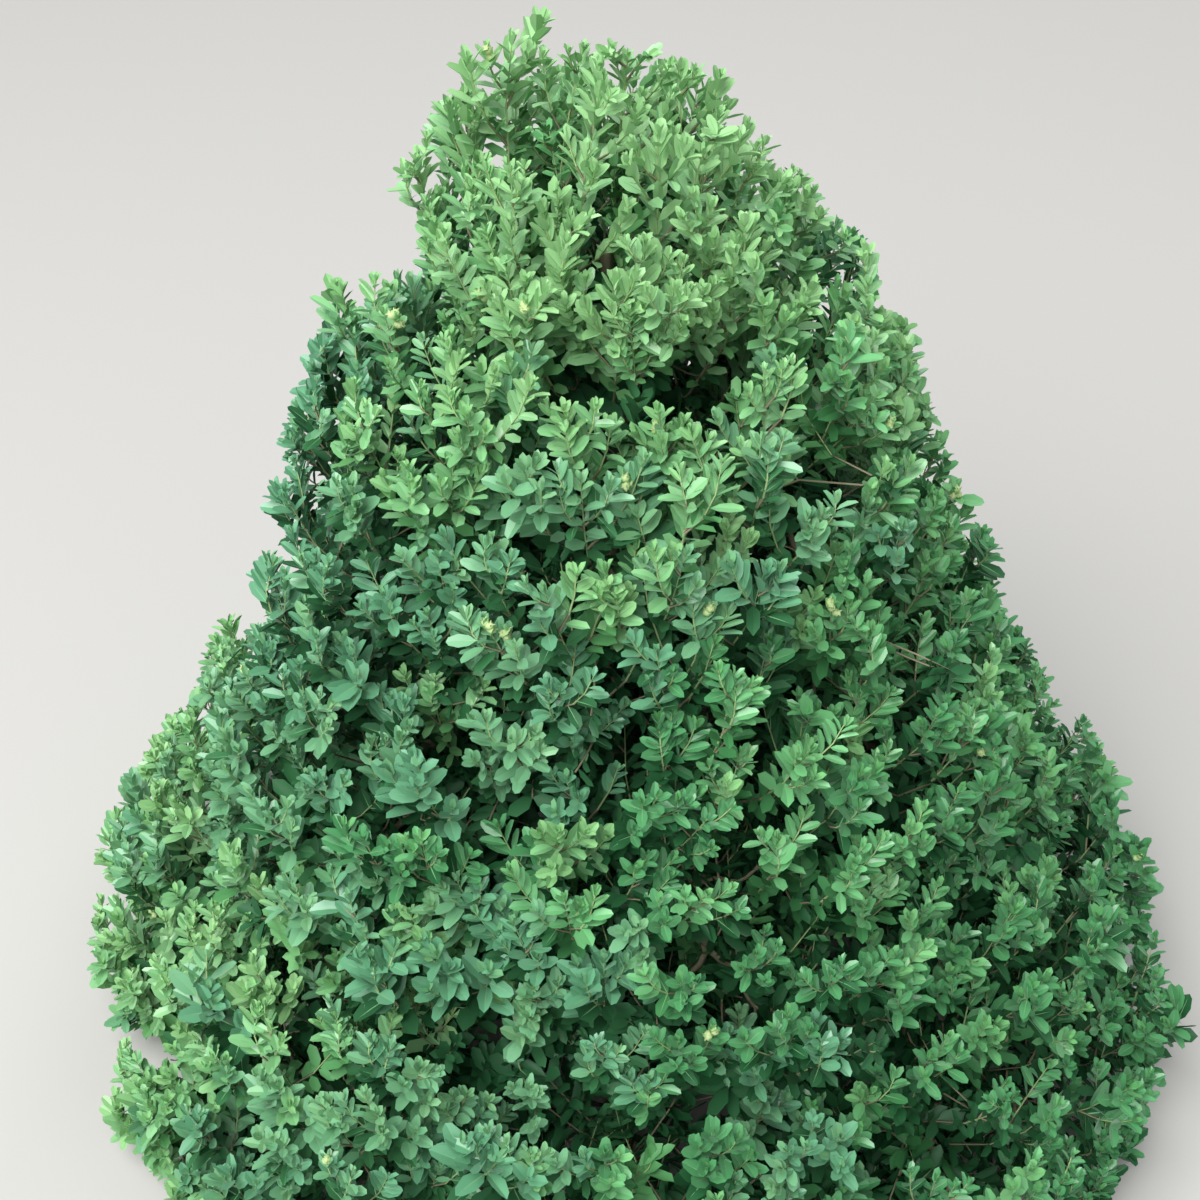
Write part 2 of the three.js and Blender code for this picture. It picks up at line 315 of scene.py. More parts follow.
def bezier(start, control, end, t):
    """Points of quadratic curves: arrays of n ends and controls and m places give n by m points."""
    t = np.asarray(t)[..., None]
    start, control, end = (p[:, None, :] for p in (start, control, end))
    return (1 - t) ** 2 * start + 2 * t * (1 - t) * control + t**2 * end


def bezier_direction(start, control, end, t):
    """The ways that the same curves take at the same places."""
    t = np.asarray(t)[..., None]
    start, control, end = (p[:, None, :] for p in (start, control, end))
    return unit((1 - t) * (control - start) + t * (end - control))


def points_along(line, run, places):
    """Points of a line at the given places, where run holds the places of its own points."""
    return np.stack([np.interp(places, run, line[:, k]) for k in range(3)], 1)


def noise_at(points, grain):
    """Smooth noise at each point, between about -0.7 and 0.7."""
    return np.array([noise.noise(Vector(p * grain)) for p in points])


def pick(table, mask):
    """The entries of every column that the mask keeps."""
    return {key: value[mask] for key, value in table.items()}


def triangles_of(node):
    """The corners of a CAD node's triangles, as an array of n by 3 points."""
    mesh = node.data
    mesh.calc_loop_triangles()
    points = np.array([v.co for v in mesh.vertices])
    return points[np.array([t.vertices for t in mesh.loop_triangles])]


def tree_of(triangles):
    """A search tree of triangles, for rays."""
    points = [Vector(p) for p in triangles.reshape(-1, 3)]
    return BVHTree.FromPolygons(points, np.arange(len(points)).reshape(-1, 3).tolist())


# Meshes


def make_object(name, points, faces, materials, face_materials=None):
    """A smooth object from arrays of points, triangles and each triangle's place in materials."""
    mesh = bpy.data.meshes.new(name)
    mesh.vertices.add(len(points))
    mesh.vertices.foreach_set("co", np.asarray(points, np.float32).ravel())
    mesh.loops.add(faces.size)
    mesh.loops.foreach_set("vertex_index", faces.astype(np.int32).ravel())
    mesh.polygons.add(len(faces))
    mesh.polygons.foreach_set("loop_start", np.arange(0, faces.size, 3, dtype=np.int32))
    mesh.polygons.foreach_set("use_smooth", np.ones(len(faces), bool))
    for material in materials:
        mesh.materials.append(material)
    if face_materials is not None:
        mesh.polygons.foreach_set("material_index", face_materials.astype(np.int32))
    mesh.update()
    mesh.validate()
    thing = bpy.data.objects.new(name, mesh)
    bpy.context.scene.collection.objects.link(thing)
    return thing


def joined(parts):
    """Joins pairs of points and triangles into one."""
    offsets = np.cumsum([0] + [len(points) for points, _ in parts[:-1]])
    points = np.concatenate([points for points, _ in parts])
    faces = np.concatenate([faces + offset for (_, faces), offset in zip(parts, offsets)])
    return points, faces


def ring_faces(rings, sides):
    """Triangles between rings of points that follow one another."""
    step = np.arange(rings - 1)[:, None] * sides
    side = np.arange(sides)
    low = step + side
    lower_next = step + (side + 1) % sides
    quads = np.stack([low, lower_next, lower_next + sides, low + sides], -1).reshape(-1, 4)
    return np.concatenate([quads[:, [0, 1, 2]], quads[:, [0, 2, 3]]])


def tubes(points, radii, sides):
    """Tubes round n lines of m points: their points and triangles."""
    count, length, _ = points.shape
    along = unit(np.gradient(points, axis=1))
    chord = unit(points[:, -1] - points[:, 0])
    helper = np.where(np.abs(chord[:, 2:]) < STEEP, UP, SIDEWAYS)
    across = unit(np.cross(along, unit(np.cross(chord, helper))[:, None, :]))
    third = np.cross(along, across)
    angles = np.arange(sides) * 2 * math.pi / sides
    around = np.cos(angles)[:, None] * across[:, :, None, :]
    around = around + np.sin(angles)[:, None] * third[:, :, None, :]
    corners = points[:, :, None, :] + radii[:, :, None, None] * around
    faces = ring_faces(length, sides)[None] + np.arange(count)[:, None, None] * length * sides
    return corners.reshape(-1, 3), faces.reshape(-1, 3)


# Leaves


def leaf_pattern(outline):
    """A leaf's two halves: each vertex's place along and across, and the triangles."""
    last = len(outline) - 1
    along, across, faces = [], [], []
    for side in (-1, 1):
        start = len(along)
        along += [u for u, _ in outline] + [u for u, _ in outline[1:-1]]
        across += [0] * len(outline) + [side * w for _, w in outline[1:-1]]
        midrib = [start + i for i in range(len(outline))]
        edge = [midrib[0]] + [start + last + i for i in range(1, last)] + [midrib[-1]]
        for i in range(last):
            corners = list(dict.fromkeys([midrib[i], midrib[i + 1], edge[i + 1], edge[i]]))
            if side > 0:
                corners.reverse()
            faces += [[corners[0], corners[k], corners[k + 1]] for k in range(1, len(corners) - 1)]
    return np.array(along), np.array(across), np.array(faces)


def flat_pattern(outline):
    """The same for a leaf with no fold, which is enough in the shade."""
    middle = outline[1:-1]
    along = [0] + [u for u, _ in middle] + [1] + [u for u, _ in reversed(middle)]
    across = [0] + [w for _, w in middle] + [0] + [-w for _, w in reversed(middle)]
    faces = [[0, k, k + 1] for k in range(1, len(along) - 1)]
    return np.array(along), np.array(across), np.array(faces)


def midrib_pattern():
    """The same for a midrib: a narrow strip that lies over the fold and ends in a point."""
    start, middle, end = MIDRIB_STATIONS
    along = np.array([start, start, middle, middle, end])
    across = np.array([-1, 1, -MIDRIB_TAPER, MIDRIB_TAPER, 0]) * MIDRIB_BREADTH
    return along, across, np.array([[0, 1, 3], [0, 3, 2], [2, 3, 4]])


def place_on_leaves(leaves, pattern, lift=0.0):
    """Points and triangles of one pattern on every leaf, bent along and folded across it."""
    along, across, faces = pattern
    length = leaves["length"][:, None]
    half = leaves["breadth"][:, None] * length / 2
    fold = leaves["fold"][:, None]
    curl = leaves["curl"][:, None]
    forward = length * along
    sideways = half * across * np.cos(fold)
    raised = half * np.abs(across) * np.sin(fold) + curl * length * along**2 + lift
    right = np.cross(leaves["forward"], leaves["up"])
    points = (
        leaves["base"][:, None, :]
        + forward[..., None] * leaves["forward"][:, None, :]
        + sideways[..., None] * right[:, None, :]
        + raised[..., None] * leaves["up"][:, None, :]
    )
    offsets = np.arange(len(points))[:, None, None] * len(along)
    return points.reshape(-1, 3), (faces[None] + offsets).reshape(-1, 3)


def pair_sides(axis, light, rank, rng):
    """The way that each pair's first leaf stands: flat to the light, or crossed near a tip."""
    across = np.cross(axis, light)
    turned = np.clip(FLAT_GAIN * np.linalg.norm(across, axis=2), 0, 1)
    flatness = turned * np.clip(rank / FLAT_PAIR, 0, 1)
    stray = np.cross(axis, unit(rng.normal(size=(len(axis), 1, 3))))
    side = unit(across + STRAY * stray)
    front = np.cross(side, axis)
    twist = CROSSED_TWIST + (FLAT_TWIST - CROSSED_TWIST) * flatness
    turn = twist * (-1.0) ** rank + rng.normal(0, TURN_SPREAD, axis.shape[:2])
    return np.cos(turn)[..., None] * side + np.sin(turn)[..., None] * front


def leaves_on(shoots, first, rng):
    """Pairs of leaves along shoots, turned to the light, as arrays with one entry for each leaf."""
    rank = np.arange(first, len(PAIR_DISTANCE))
    distance = PAIR_DISTANCE[rank] - PAIR_DISTANCE[first] + PAIR_DISTANCE[0]
    curve = (shoots["start"], shoots["control"], shoots["end"])
    foot_part = np.linalg.norm(curve[1] - curve[0], axis=1)
    reach = foot_part + np.linalg.norm(curve[2] - curve[1], axis=1)
    t = 1 - distance * shoots["stretch"][:, None] / reach[:, None]
    place = bezier(*curve, t)
    axis = bezier_direction(*curve, t)
    light = np.broadcast_to(unit(UP + LIGHT_OUTWARD * shoots["out"])[:, None, :], axis.shape)
    side = pair_sides(axis, light, rank, rng)
    both = np.stack([side, -side], 2)
    axis = np.broadcast_to(axis[:, :, None, :], both.shape)
    angle = PAIR_ANGLE[rank][None, :, None] * shoots["opening"][:, None, None]
    angle = angle + rng.normal(0, ANGLE_SPREAD, both.shape[:3])
    forward = np.cos(angle)[..., None] * axis + np.sin(angle)[..., None] * both
    facing = np.sin(angle)[..., None] * axis - np.cos(angle)[..., None] * both
    light = light[:, :, None, :]
    light = light - (light * forward).sum(-1, keepdims=True) * forward
    pull = np.minimum(LIGHT_PULL + PULL_GROWTH * rank, MOST_PULL)[None, :, None, None]
    up = unit(facing + pull * light + rng.normal(0, FACING_SPREAD, both.shape))
    rank = np.broadcast_to(rank[None, :, None], angle.shape)
    age = np.digitize(rank - shoots["young"][:, None, None], [0, GROWN_PAIRS])
    young = age == 0
    size = PAIR_LENGTH[rank] * shoots["size"][:, None, None]
    size = size * rng.normal(1, LENGTH_SPREAD, angle.shape)
    breadth = LEAF_BREADTH * rng.normal(1, BREADTH_SPREAD, angle.shape)
    fold = np.where(young, YOUNG_FOLD, OLDER_FOLD) + rng.normal(0, FOLD_SPREAD, angle.shape)
    curl = np.where(young, YOUNG_CURL, OLDER_CURL) + rng.normal(0, CURL_SPREAD, angle.shape)
    leaves = {
        "base": np.broadcast_to(place[:, :, None, :], both.shape),
        "forward": forward,
        "up": square_to(up, forward),
        "length": LEAF_LENGTH * size,
        "breadth": breadth,
        "fold": fold,
        "curl": curl,
        "rank": rank,
        "colour": LEAF_AGES * shoots["tone"][:, None, None] + age,
    }
    leafy = np.broadcast_to((t > shoots["bare"][:, None])[:, :, None], angle.shape)
    tips = leaves["base"] + leaves["length"][..., None] * forward
    lowest = np.minimum(tips, leaves["base"])[..., 2] - EDGE_DROP * leaves["length"]
    return pick(leaves, leafy & (lowest > GROUND_CLEARANCE))


def make_foliage(name, outer, inner, materials):
    """One mesh of a mass's leaves, lit and shaded. The last material is the midribs'."""
    first, last = FINE_PAIRS
    fine = (outer["rank"] >= first) & (outer["rank"] < last)
    flat = outer["rank"] >= FIRST_FLAT_PAIR
    near = pick(outer, fine)
    parts, colours = [], []
    for leaves, pattern in (
        (near, leaf_pattern(FINE_OUTLINE)),
        (pick(outer, ~fine & ~flat), leaf_pattern(PLAIN_OUTLINE)),
        (pick(outer, flat), flat_pattern(PLAIN_OUTLINE)),
        (inner, flat_pattern(PLAIN_OUTLINE)),
    ):
        parts.append(place_on_leaves(leaves, pattern))
        colours.append(np.repeat(leaves["colour"], len(pattern[2])))
    midribs = place_on_leaves(near, midrib_pattern(), MIDRIB_LIFT)
    parts.append(midribs)
    colours.append(np.full(len(midribs[1]), len(materials) - 1))
    return make_object(name, *joined(parts), materials, np.concatenate(colours))


# Seed capsules


def capsule_bodies(base, way):
    """Small barrels that stand on each base."""
    along, girth = (np.array(column) for column in zip(*CAPSULE_PROFILE))
    line = base[:, None] + CAPSULE_LENGTH * along[:, None] * way[:, None]
    radii = np.broadcast_to(CAPSULE_RADIUS * girth, line.shape[:2])
    return tubes(line, radii, CAPSULE_SIDES)


def capsule_horns(base, way):
    """The horns that stand round the end of each capsule."""
    across = unit(np.cross(way, NEARLY_UP))
    third = np.cross(way, across)
    lines = []
    for turn in np.arange(HORNS) * math.tau / HORNS:
        outward = math.cos(turn) * across + math.sin(turn) * third
        foot = base + HORN_PLACE * CAPSULE_RADIUS * way + HORN_OFFSET * CAPSULE_RADIUS * outward
        lines.append(np.stack([foot, foot + HORN_LENGTH * unit(way + HORN_SPLAY * outward)], 1))
    line = np.concatenate(lines)
    return tubes(line, np.broadcast_to(CAPSULE_RADIUS * HORN_RADII, line.shape[:2]), HORN_SIDES)


def make_fruit(fruiting, rng):
    """Bunches of seed capsules round the tips of the shoots that bear them."""
    tips = np.concatenate([shoots["end"] for shoots in fruiting])
    ways = np.concatenate([unit(shoots["end"] - shoots["control"]) for shoots in fruiting])
    spread = unit(ways[:, None] + BUNCH_SPREAD * rng.normal(size=(len(tips), CAPSULES, 3)))
    back = CAPSULE_LENGTH * rng.random((len(tips), CAPSULES, 1)) * ways[:, None]
    base = (tips[:, None] - back).reshape(-1, 3)
    way = spread.reshape(-1, 3)
    parts = [capsule_bodies(base, way), capsule_horns(base, way)]
    fruit = make_object("fruit", *joined(parts), [capsule_material()])
    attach(fruit, "root")


# Materials


def plain_material(name, colour, roughness, specular=0.5):
    """A material of one plain colour."""
    material = bpy.data.materials.new(name)
    material.use_nodes = True
    shader = material.node_tree.nodes["Principled BSDF"]
    shader.inputs["Base Color"].default_value = (*colour, 1)
    shader.inputs["Roughness"].default_value = roughness
    shader.inputs["Specular IOR Level"].default_value = specular
    return material


def leaf_material(name, colour, roughness, specular, bloom):
    """A leaf's material, with a pale bloom."""
    material = plain_material(name, colour, roughness, specular)
    shader = material.node_tree.nodes["Principled BSDF"]
    shader.inputs["Sheen Weight"].default_value = bloom
    shader.inputs["Sheen Roughness"].default_value = BLOOM_ROUGHNESS
    shader.inputs["Sheen Tint"].default_value = BLOOM_COLOUR
    return material


def leaf_materials():
    """Leaf colours by tone of spray, each from young through grown to old, then the midribs'."""
    tones = {
        "bright": ((0.305, 0.57, 0.25), (0.265, 0.54, 0.245), (0.145, 0.38, 0.14)),
        "yellow": ((0.25, 0.52, 0.215), (0.205, 0.48, 0.205), (0.10, 0.31, 0.11)),
        "fresh": ((0.18, 0.46, 0.18), (0.14, 0.42, 0.165), (0.052, 0.21, 0.07)),
        "cool": ((0.21, 0.46, 0.225), (0.16, 0.40, 0.205), (0.041, 0.165, 0.061)),
        "deep": ((0.12, 0.37, 0.13), (0.078, 0.295, 0.11), (0.021, 0.112, 0.038)),
        "blue": ((0.17, 0.415, 0.20), (0.12, 0.345, 0.185), (0.025, 0.112, 0.042)),
    }
    finishes = {"young": (0.42, 0.5, 0.1), "grown": (0.38, 0.75, 0.15), "old": (0.5, 0.3, 0)}
    materials = []
    for tone, colours in tones.items():
        for colour, (age, finish) in zip(colours, finishes.items()):
            materials.append(leaf_material(f"leaf_{tone}_{age}", colour, *finish))
    return materials + [plain_material("leaf_midrib", (0.20, 0.44, 0.21), 0.5, 0.4)]


def twig_materials():
    """The colour of wood, then that of a shoot's green part."""
    wood = plain_material("twig_wood", (0.27, 0.25, 0.16), roughness=0.75, specular=0.2)
    green = plain_material("twig_green", (0.36, 0.48, 0.22), roughness=0.6, specular=0.3)
    return [wood, green]


def capsule_material():
    return plain_material("capsule", (0.46, 0.60, 0.27), roughness=0.5, specular=0.4)


def floor_material():
    return plain_material("floor", (0.5, 0.49, 0.47), roughness=0.8)


def bark_material():
    """Grey-brown bark, mottled by fine noise."""
    material = bpy.data.materials.new("bark")
    material.use_nodes = True
    nodes = material.node_tree.nodes
    links = material.node_tree.links
    shader = nodes["Principled BSDF"]
    shader.inputs["Roughness"].default_value = 0.88
    grain = nodes.new("ShaderNodeTexNoise")
    grain.inputs["Scale"].default_value = BARK_GRAIN
    grain.inputs["Detail"].default_value = BARK_DETAIL
    ramp = nodes.new("ShaderNodeValToRGB")
    ends = ((0.3, (0.12, 0.09, 0.06, 1)), (0.72, (0.36, 0.30, 0.22, 1)))
    for element, (position, colour) in zip(ramp.color_ramp.elements, ends):
        element.position = position
        element.color = colour
    links.new(grain.outputs["Fac"], ramp.inputs["Fac"])
    links.new(ramp.outputs["Color"], shader.inputs["Base Color"])
    return material


# Where sprays stand


def away_from_crown(points):
    """The way out of the crown beside points: square to its sloping side, and up at the top."""
    radius = np.linalg.norm(points[:, :2], axis=1)
    rise = CROWN_SLOPE * radius + TOP_TURN * np.maximum(points[:, 2] - CROWN_TOP, 0)
    return unit(np.column_stack([points[:, :2], rise]))


def sees_sky(point, out, crown):
    """Whether the crown's masses leave enough of the sky outside a place open."""
    side = unit(np.cross(out, NEARLY_UP))
    third = np.cross(out, side)
    turns = np.arange(SKY_WAYS) * math.tau / SKY_WAYS
    around = [math.cos(turn) * side + math.sin(turn) * third for turn in turns]
    ways = [out] + [unit(out + way) for way in around]
    starts = [point + RAY_GAP * way for way in ways]
    hits = [crown.ray_cast(Vector(s), Vector(w), SKY_REACH)[0] for s, w in zip(starts, ways)]
    return hits.count(None) >= OPEN_SHARE * len(ways)


def points_on(triangles, count, rng):
    """Points spread evenly by chance over triangles, and the normals there."""
    edges = triangles[:, 1:] - triangles[:, :1]
    square = np.cross(edges[:, 0], edges[:, 1])
    area = np.linalg.norm(square, axis=1)
    chosen = rng.choice(len(area), count, p=area / area.sum())
    a, b = rng.random((2, count, 1))
    flip = a + b > 1
    a, b = np.where(flip, 1 - a, a), np.where(flip, 1 - b, b)
    points = triangles[chosen, 0] + a * edges[chosen, 0] + b * edges[chosen, 1]
    return points, unit(square[chosen])


def in_light(point, normal, away, crown):
    """Whether a place faces out of the crown, sees the sky and isn't deep in a pocket."""
    if noise.noise(Vector(point * POCKET_GRAIN)) > DEEP_POCKET:
        return False
    facing = normal @ away > MOST_INWARD and normal[2] > MOST_DOWNWARD
    return facing and sees_sky(point + FACE_GAP * normal, away, crown)


def spray_places(triangles, crown, taken, rng):
    """Places on a mass a spacing apart, the ways that sprays face, and which are in the shade."""
    points, normals = points_on(triangles, PLACES_TRIED, rng)
    places = []
    for point, normal, away in zip(points, normals, away_from_crown(points)):
        room = np.linalg.norm(np.array(taken) - point, axis=1).min() if taken else SKY_REACH
        if room < np.interp(point[2], *SPRAY_SPACING):
            continue
        shaded = not in_light(point, normal, away, crown)
        if shaded and room < np.interp(point[2], *SHADE_SPACING):
            continue
        taken.append(point)
        of_normal, of_away = SHADED_WAY if shaded else LIT_WAY
        places.append((point, unit(of_normal * normal + of_away * away), shaded))
    return (np.array(column) for column in zip(*places))


# Sprays


def grow_leaders(tips, outs, rng):
    """Each spray's leader, which comes out of its mass and turns up, and the way it faces."""
    count = len(tips)
    depth = np.clip((noise_at(tips, POCKET_GRAIN) - POCKET_START) / POCKET_RISE, 0, 1)
    sunk = POCKET_DEPTH * depth
    uneven = SPRAY_UNEVEN * rng.random(count) ** UNEVEN_POWER
    drift = np.array([noise.noise_vector(Vector(p * SWAY_GRAIN)) for p in tips])
    jitter = rng.normal(0, HEADING_SPREAD, (count, 3))
    heading = unit(UP + OUTWARD_LEAN * outs + SWAY * drift + jitter)
    long = rng.random(count) < LONG_SHARE + LONG_GROWTH * np.maximum(tips[:, 2] - LONG_ABOVE, 0)
    more = (long * LONG_REACH)[:, None]
    tips = tips - (TIP_LEAVES + uneven + sunk)[:, None] * outs + more * heading
    length = SPRAY_LENGTH * rng.normal(1, SPRAY_LENGTH_SPREAD, (count, 1)) + more
    bend = tips - LEADER_HEAD * length * heading
    foot = bend - LEADER_FOOT * length * unit(outs + FOOT_RISE * UP)
    bend[:, 2] = np.maximum(bend[:, 2], BEND_CLEARANCE)
    foot[:, 2] = np.maximum(foot[:, 2], FOOT_CLEARANCE)
    front = unit(outs + FRONT_SPREAD * rng.normal(size=(count, 3)))
    return {
        "foot": foot,
        "bend": bend,
        "tip": tips,
        "heading": heading,
        "front": square_to(front, heading),
        "long": long,
    }


def grow_side_shoots(leaders, outs, rng):
    """Shoots that leave each leader and turn up beside it, no farther out than its tip."""
    heading, front = leaders["heading"], leaders["front"]
    side = np.cross(heading, front)
    grid = (len(heading), len(SIDE_SHOOT_PLACES))
    leaving = SIDE_SHOOT_PLACES + rng.normal(0, SIDE_PLACE_SPREAD, grid)
    leaving = np.clip(leaving, *SIDE_SHOOT_RANGE)
    bearing = SIDE_SHOOT_BEARINGS * rng.choice([-1, 1], (len(heading), 1))
    bearing = bearing + rng.normal(0, SIDE_BEARING_SPREAD, grid)
    reach = (SIDE_SHOOT_LENGTHS * rng.normal(1, SIDE_LENGTH_SPREAD, grid))[..., None]
    radial = np.cos(bearing)[..., None] * front[:, None]
    radial = radial + np.sin(bearing)[..., None] * side[:, None]
    starts = bezier(leaders["foot"], leaders["bend"], leaders["tip"], leaving)
    ahead = heading[:, None]
    controls = starts + SIDE_SHOOT_FOOT * reach * unit(ahead + FOOT_SPLAY * radial)
    ends = controls + SIDE_SHOOT_HEAD * reach * unit(ahead + HEAD_SPLAY * radial)
    proud = ((ends - leaders["tip"][:, None]) * outs[:, None]).sum(-1, keepdims=True)
    ends = ends - np.maximum(proud, 0) * outs[:, None]
    return starts, controls, ends


def grow_sprays(tips, outs, shaded, rng):
    """The shoots of all sprays, where each spray begins, and the way that it begins."""
    leaders = grow_leaders(tips, outs, rng)
    starts, controls, ends = grow_side_shoots(leaders, outs, rng)
    kept = ~shaded[:, None] | (np.arange(len(SIDE_SHOOT_PLACES) + 1) < INNER_SHOOTS)

    def together(leader, sides):
        return np.concatenate([leader[:, None], sides], 1)[kept]

    spray = np.broadcast_to(np.arange(len(tips))[:, None], kept.shape)[kept]
    shoots = {
        "start": together(leaders["foot"], starts),
        "control": together(leaders["bend"], controls),
        "end": together(leaders["tip"], ends),
        "out": outs[spray],
        "spray": spray,
        "long": leaders["long"][spray],
        "shaded": shaded[spray],
    }
    return shoots, leaders["foot"], unit(leaders["bend"] - leaders["foot"])


def set_vigour(shoots, rng):
    """Gives shoots the size, spacing and angle of their leaves."""
    count = len(shoots["start"])
    height = shoots["end"][:, 2]
    sprays = shoots["spray"].max() + 1
    vigour = np.clip(rng.normal(*VIGOUR, sprays), *VIGOUR_RANGE)[shoots["spray"]]
    more = LONG_VIGOUR * shoots["long"] * (height < LONG_VIGOUR_BELOW)
    vigour = vigour - VIGOUR_FALL * height + more
    in_shade = vigour * np.interp(height, (0, 1), SHADE_SIZE)
    vigour = np.where(shoots["shaded"], in_shade, vigour)
    shoots["size"] = vigour * rng.normal(1, SHOOT_SIZE_SPREAD, count)
    shoots["stretch"] = vigour * rng.normal(1, SHOOT_STRETCH_SPREAD, count)
    shoots["opening"] = rng.uniform(*OPENING, count)
    shoots["bare"] = rng.uniform(*BARE_FOOT, count)


def lightness_of(shoots, rng):
    """How light each shoot's leaves are: by place in the crown, as painted light and shade with
    fresher growth at the top, by patch, by spray and by chance.
    """
    x, _, z = shoots["end"].T
    spray = shoots["spray"]
    sprays = spray.max() + 1
    # painted light from above, with the fresher growth at the top
    top = TOP_FRESH_AND_PAINTED_LIGHT * np.maximum(z - TOP_FRESH_AND_PAINTED_LIGHT_ABOVE, 0)
    # painted light and shade across the crown's sides
    lightness = top + SIDE_PAINTED_LIGHT_AND_SHADE * x * (z - SIDE_PAINTED_LIGHT_TURN)
    patches = PATCH_LIGHT * noise_at(shoots["end"], PATCH_GRAIN)
    lightness += patches + rng.normal(0, SPRAY_LIGHT_SPREAD, sprays)[spray]
    lightness += rng.normal(0, SHOOT_LIGHT_SPREAD, len(x)) - LONG_DARKER * shoots["long"]
    lightness += FLUSH_LIGHT * (rng.random(sprays) < FLUSH_SHARE)[spray]
    # painted light on the crown's left edge
    lightness += LEFT_EDGE_PAINTED_LIGHT * np.maximum(-x - LEFT_EDGE_PAINTED_LIGHT_FROM, 0)
    return lightness


def set_tones(shoots, rng):
    """Gives shoots the tone of their leaves and the number of young pairs: none in the shade, whose
    old, darker leaves are partly painted shade.
    """
    x, _, z = shoots["end"].T
    spray = shoots["spray"]
    level = np.digitize(-lightness_of(shoots, rng), -LIGHT_LEVELS)
    warmth = x + WARMTH_PATCH * noise_at(shoots["end"], WARMTH_GRAIN)
    warmth = warmth + rng.normal(0, WARMTH_SPREAD, spray.max() + 1)[spray]
    cool = (warmth < COOL_BELOW) & (level >= FIRST_COOL_LEVEL)
    shoots["tone"] = WARM_TONES[level] + cool
    young = rng.uniform(LEAST_YOUNG, 1, len(x)) * MOST_YOUNG_PAIRS[shoots["tone"]]
    shoots["young"] = np.floor(young + YOUNG_GROWTH * np.maximum(z - YOUNG_ABOVE, 0))
    # shoots in the shade keep only old leaves: their age, and painted shade in pockets and inside
    shoots["young"][shoots["shaded"]] = -GROWN_PAIRS


# Twigs


def fork(start, direction, targets, limbs):
    """Forks a limb from start until it reaches every target, and adds each stretch to limbs."""
    goals = np.array([t["point"] for t in targets])
    if len(targets) == 1:
        end = goals[0]
        control = end - LAST_CURVE * np.linalg.norm(end - start) * targets[0]["direction"]
        limbs.append((start, control, end, 1))
        return
    middle = goals.mean(0)
    node = start + FORK_PLACE * (middle - start)
    control = start + FORK_CURVE * np.linalg.norm(node - start) * direction
    limbs.append((start, control, node, len(targets)))
    heading = unit(node - control)
    spread = goals - middle
    widest = np.linalg.svd(spread, full_matrices=False)[2][0]
    order = np.argsort(spread @ widest)
    half = len(order) // 2
    for group in (order[:half], order[half:]):
        fork(node, heading, [targets[i] for i in group], limbs)


def leafy_twigs(limbs, rng):
    """The thinner twigs inside the crown, as shoots for old leaves in the darkest tones, partly
    painted shade.
    """
    thin = [limb for limb in limbs if limb[3] <= MOST_LEAFY_TIPS]
    start, control, end = (np.array([limb[k] for limb in thin]) for k in range(3))
    count = len(thin)
    size = np.interp(end[:, 2], (0, 1), SHADE_SIZE)
    return {
        "start": start,
        "control": control,
        "end": end,
        "out": unit(end - start),
        "size": size * rng.normal(1, TWIG_SIZE_SPREAD, count),
        "stretch": rng.normal(*TWIG_STRETCH, count),
        "opening": rng.uniform(*TWIG_OPENING, count),
        "bare": rng.uniform(*TWIG_BARE_FOOT, count),
        # the darkest tones: old leaves inside the crown, partly painted shade
        "tone": rng.integers(*INNER_OLD_AND_PAINTED_SHADE_TONES, count),
        "young": np.full(count, -GROWN_PAIRS),
    }


def bough_twigs(middles, rng):
    """Twigs that leave a bough on its sides and top and turn up inside the crown."""
    spacing = np.interp(middles[-1][2], *BOUGH_TWIG_SPACING)
    count = round(np.linalg.norm(middles[-1] - middles[0]) / spacing)
    place = rng.uniform(*BOUGH_TWIG_PLACES, count) * (len(middles) - 1)
    start = points_along(middles, np.arange(len(middles)), place)
    along = unit(middles[-1] - middles[0])
    side = unit(rng.normal(size=start.shape))
    side[:, 2] = np.abs(side[:, 2])
    side = unit(side - (side @ along)[:, None] * along)
    shorter = END_SHORTER * place / len(middles) * np.clip(start[:, 2] / SHORTER_ABOVE, 0, 1)
    length = np.interp(start[:, 2], *BOUGH_TWIG_LENGTH) * (1 - shorter)
    half = (length * rng.uniform(*BOUGH_TWIG_RANGE, count))[:, None] / 2
    control = start + half * unit(side + TWIG_AHEAD * along + TWIG_FIRST_RISE * UP)
    end = control + half * unit(side + TWIG_LAST_RISE * UP)
    for points in (control, end):
        points[:, 2] = np.maximum(points[:, 2], TWIG_CLEARANCE)
    return list(zip(start, control, end, np.ones(count, int)))


def inner_twigs(limbs):
    """Points and triangles of the limbs, thicker the more sprays they bear."""
    start, control, end = (np.array([limb[k] for limb in limbs]) for k in range(3))
    sprays = np.array([limb[3] for limb in limbs], float)
    taper = np.linspace(*TWIG_TAPER, len(TWIG_STATIONS))
    radii = taper * (TWIG_RADIUS * sprays**TWIG_GROWTH)[:, None]
    return tubes(bezier(start, control, end, TWIG_STATIONS), radii, TWIG_SIDES)


def make_twigs(name, limbs, shoots, materials):
    """One mesh of a mass's inner twigs, in the colour of wood, and its shoots, green at the tip."""
    inner = inner_twigs(limbs)
    line = bezier(shoots["start"], shoots["control"], shoots["end"], TWIG_STATIONS)
    radii = np.linspace(*SHOOT_RADII, len(TWIG_STATIONS)) * MM
    outer = tubes(line, np.broadcast_to(radii, line.shape[:2]), SHOOT_SIDES)
    segment = np.repeat(np.arange(len(TWIG_STATIONS) - 1), SHOOT_SIDES)
    green = np.tile(np.minimum(segment, 1), 2 * len(line))
    colours = np.concatenate([np.zeros(len(inner[1])), green])
    return make_object(name, *joined([inner, outer]), materials, colours)


# Bark


